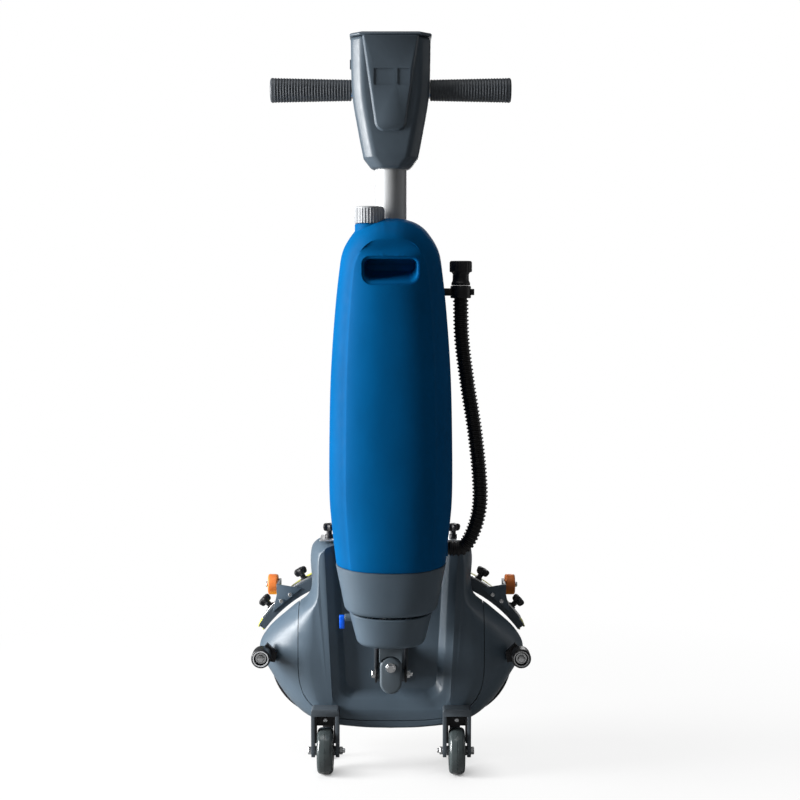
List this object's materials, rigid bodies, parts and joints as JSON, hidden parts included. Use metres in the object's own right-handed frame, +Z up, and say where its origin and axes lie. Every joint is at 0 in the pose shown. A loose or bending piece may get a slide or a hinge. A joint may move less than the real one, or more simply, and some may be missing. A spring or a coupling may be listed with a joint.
{
  "type": "floor scrubber machine",
  "caption": "Walk-behind floor scrubber parked upright: T-handle, blue tank, universal joint, and a folded-up deck with brushes, squeegee and transport wheels.",
  "frame": {"origin": "on the floor under the middle of the machine's box", "axes": "+X to the right seen from the tank side, +Y towards the brushes, +Z up along the pole"},
  "size_m": [0.4622, 0.26, 1.1987],
  "materials": {
    "slate_plastic": "moulded slate grey, fine satin",
    "dark_slate_plastic": "moulded dark slate, satin",
    "black_plastic": "black moulding",
    "black_rubber": "soft black rubber",
    "slate_paint": "slate paint on steel",
    "black_steel": "black powder coat",
    "tank_blue": "blue rotomoulded plastic with a light grain",
    "tap_blue": "bright blue moulding",
    "light_grey_plastic": "light grey moulding",
    "aluminium": "drawn and anodised",
    "bright_steel": "zinc plated steel",
    "tyre_rubber": "hard dark polyurethane",
    "orange_plastic": "orange moulding",
    "bristle_nylon": "cream nylon bristle",
    "blade_rubber": "yellow-green polyurethane blade",
    "board": "green circuit board"
  },
  "bodies": {
    "deck": {"pitch_bolt": "bright_steel", "pivot_bracket": "black_steel", "deck_cover": "slate_plastic", "deck_base": "slate_plastic", "deck_plate": "bright_steel", "brush_motor_left": "bright_steel", "brush_motor_right": "bright_steel", "battery_pack": "black_plastic", "caster_fork_left": "slate_paint", "caster_fork_right": "slate_paint", "parking_stand": "black_steel", "bumper_bracket_left": "black_steel", "bumper_bracket_right": "black_steel", "squeegee_body": "slate_plastic", "squeegee_blade_rear": "blade_rubber", "squeegee_blade_front": "blade_rubber", "squeegee_strap": "aluminium", "squeegee_arm_left": "aluminium", "squeegee_arm_right": "aluminium", "guide_bracket_left": "slate_plastic", "guide_bracket_right": "slate_plastic"},
    "knuckle": {"knuckle_block": "slate_plastic", "roll_bolt": "bright_steel"},
    "handle": {"head_front_shell": "dark_slate_plastic", "head_rear_shell": "dark_slate_plastic", "control_panel": "dark_slate_plastic", "control_board": "board", "handlebar_tube": "bright_steel", "grip_left": "black_rubber", "grip_right": "black_rubber", "pole": "aluminium", "tank_cradle": "slate_plastic", "vacuum_housing": "slate_plastic", "vacuum_motor": "bright_steel", "joint_stub": "slate_plastic"},
    "tank": {"water_tank": "tank_blue", "drain_hose": "black_plastic", "hose_clip": "black_plastic"},
    "brush_left": {"brush_disc_left": "black_plastic", "bristles_left": "bristle_nylon"},
    "brush_right": {"brush_disc_right": "black_plastic", "bristles_right": "bristle_nylon"},
    "power_button": {"power_button": "light_grey_plastic"},
    "water_button": {"water_button": "light_grey_plastic"},
    "tap_lever": {"tap_lever": "tap_blue"},
    "filler_cap": {"filler_cap": "light_grey_plastic"},
    "drain_cap": {"drain_cap": "black_plastic"},
    "caster_wheel_left": {"caster_wheel_left": "tyre_rubber"},
    "caster_wheel_right": {"caster_wheel_right": "tyre_rubber"},
    "bumper_roller_left": {"bumper_roller_left": "tyre_rubber"},
    "bumper_roller_right": {"bumper_roller_right": "tyre_rubber"},
    "guide_wheel_left": {"guide_wheel_left": "orange_plastic"},
    "guide_wheel_right": {"guide_wheel_right": "orange_plastic"},
    "mount_knob_left": {"mount_knob_left": "black_plastic"},
    "mount_knob_right": {"mount_knob_right": "black_plastic"},
    "strap_knob_lower_left": {"strap_knob_lower_left": "black_plastic"},
    "strap_knob_lower_right": {"strap_knob_lower_right": "black_plastic"},
    "strap_knob_upper_left": {"strap_knob_upper_left": "black_plastic"},
    "strap_knob_upper_right": {"strap_knob_upper_right": "black_plastic"}
  },
  "joints": [
    {"name": "handle_pitch", "type": "hinge", "parent": "deck", "child": "knuckle", "pos_m": [0, -0.07, 0.179], "axis": [1, 0, 0], "range_deg": [0, 90]},
    {"name": "handle_roll", "type": "hinge", "parent": "knuckle", "child": "handle", "pos_m": [0, -0.07, 0.193], "axis": [0, 1, 0], "range_deg": [-25, 25]},
    {"name": "tank_lift", "type": "slide", "parent": "handle", "child": "tank", "axis": [0, 0, 1], "range_m": [0, 0.05]},
    {"name": "filler_cap_turn", "type": "hinge", "parent": "tank", "child": "filler_cap", "pos_m": [-0.033, -0.085, 0.91], "axis": [0, 0, 1], "continuous": true},
    {"name": "drain_cap_turn", "type": "hinge", "parent": "tank", "child": "drain_cap", "pos_m": [0.112, -0.03, 0.82], "axis": [0, 0, 1], "continuous": true},
    {"name": "tap_turn", "type": "hinge", "parent": "handle", "child": "tap_lever", "pos_m": [-0.0743, -0.07, 0.2708], "axis": [1, 0, 0], "range_deg": [0, 90]},
    {"name": "power_button_press", "type": "slide", "parent": "handle", "child": "power_button", "axis": [0, 0, -1], "range_m": [0, 0.002], "stiffness_N_per_m": 300, "springref_m": -0.001},
    {"name": "water_button_press", "type": "slide", "parent": "handle", "child": "water_button", "axis": [0, 0, -1], "range_m": [0, 0.002], "stiffness_N_per_m": 300, "springref_m": -0.001},
    {"name": "caster_wheel_left_spin", "type": "hinge", "parent": "deck", "child": "caster_wheel_left", "pos_m": [-0.108, -0.02, 0.038], "axis": [1, 0, 0], "continuous": true},
    {"name": "brush_left_spin", "type": "hinge", "parent": "deck", "child": "brush_left", "pos_m": [-0.107, 0.085, 0.165], "axis": [0, 1, 0], "continuous": true},
    {"name": "bumper_roller_left_spin", "type": "hinge", "parent": "deck", "child": "bumper_roller_left", "pos_m": [-0.214, 0.001, 0.19], "axis": [0, 1, 0], "continuous": true},
    {"name": "guide_wheel_left_spin", "type": "hinge", "parent": "deck", "child": "guide_wheel_left", "pos_m": [-0.2035, 0.1125, 0.289], "axis": [1, 0, 0], "continuous": true},
    {"name": "mount_knob_left_turn", "type": "hinge", "parent": "deck", "child": "mount_knob_left", "pos_m": [-0.103, 0.031, 0.383], "axis": [0, 0, 1], "continuous": true},
    {"name": "strap_knob_lower_left_turn", "type": "hinge", "parent": "deck", "child": "strap_knob_lower_left", "pos_m": [-0.19876, 0.08133, 0.25227], "axis": [-0.7337, 0, 0.6794], "continuous": true},
    {"name": "strap_knob_upper_left_turn", "type": "hinge", "parent": "deck", "child": "strap_knob_upper_left", "pos_m": [-0.14326, 0.08133, 0.29618], "axis": [-0.4924, 0, 0.8704], "continuous": true},
    {"name": "caster_wheel_right_spin", "type": "hinge", "parent": "deck", "child": "caster_wheel_right", "pos_m": [0.108, -0.02, 0.038], "axis": [1, 0, 0], "continuous": true},
    {"name": "brush_right_spin", "type": "hinge", "parent": "deck", "child": "brush_right", "pos_m": [0.107, 0.085, 0.165], "axis": [0, 1, 0], "continuous": true},
    {"name": "bumper_roller_right_spin", "type": "hinge", "parent": "deck", "child": "bumper_roller_right", "pos_m": [0.214, 0.001, 0.19], "axis": [0, 1, 0], "continuous": true},
    {"name": "guide_wheel_right_spin", "type": "hinge", "parent": "deck", "child": "guide_wheel_right", "pos_m": [0.2035, 0.1125, 0.289], "axis": [1, 0, 0], "continuous": true},
    {"name": "mount_knob_right_turn", "type": "hinge", "parent": "deck", "child": "mount_knob_right", "pos_m": [0.103, 0.031, 0.383], "axis": [0, 0, 1], "continuous": true},
    {"name": "strap_knob_lower_right_turn", "type": "hinge", "parent": "deck", "child": "strap_knob_lower_right", "pos_m": [0.19876, 0.08133, 0.25227], "axis": [0.7337, 0, 0.6794], "continuous": true},
    {"name": "strap_knob_upper_right_turn", "type": "hinge", "parent": "deck", "child": "strap_knob_upper_right", "pos_m": [0.14326, 0.08133, 0.29618], "axis": [0.4924, 0, 0.8704], "continuous": true}
  ]
}
